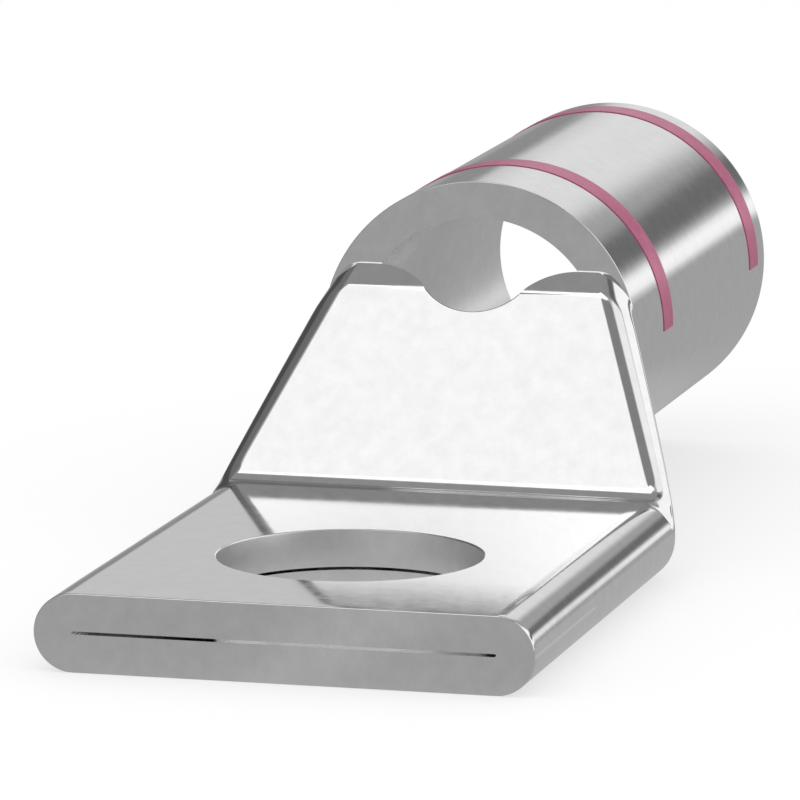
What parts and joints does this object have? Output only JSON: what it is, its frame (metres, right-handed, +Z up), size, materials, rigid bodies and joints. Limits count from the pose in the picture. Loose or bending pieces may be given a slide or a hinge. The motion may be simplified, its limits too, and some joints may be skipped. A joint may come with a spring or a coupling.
{
  "type": "copper cable lug",
  "caption": "Tin-plated compression cable lug formed from one copper tube: flat tongue with a stud hole, inclined ramp with a notched inspection window, and a round open barrel.",
  "frame": {"origin": "centre of the stud hole on the underside of the tongue", "axes": "+X from the stud hole along the barrel to its open mouth, +Y across the tongue, +Z up along the stud hole"},
  "size_m": [0.0544, 0.0196, 0.0149],
  "materials": {
    "tinned_copper": "smooth tin plate, satin to glossy",
    "band_ink": "thin printed ink, pink, semi-matt"
  },
  "bodies": {
    "root": {"lug": "tinned_copper", "colour_bands": "band_ink"}
  },
  "joints": []
}
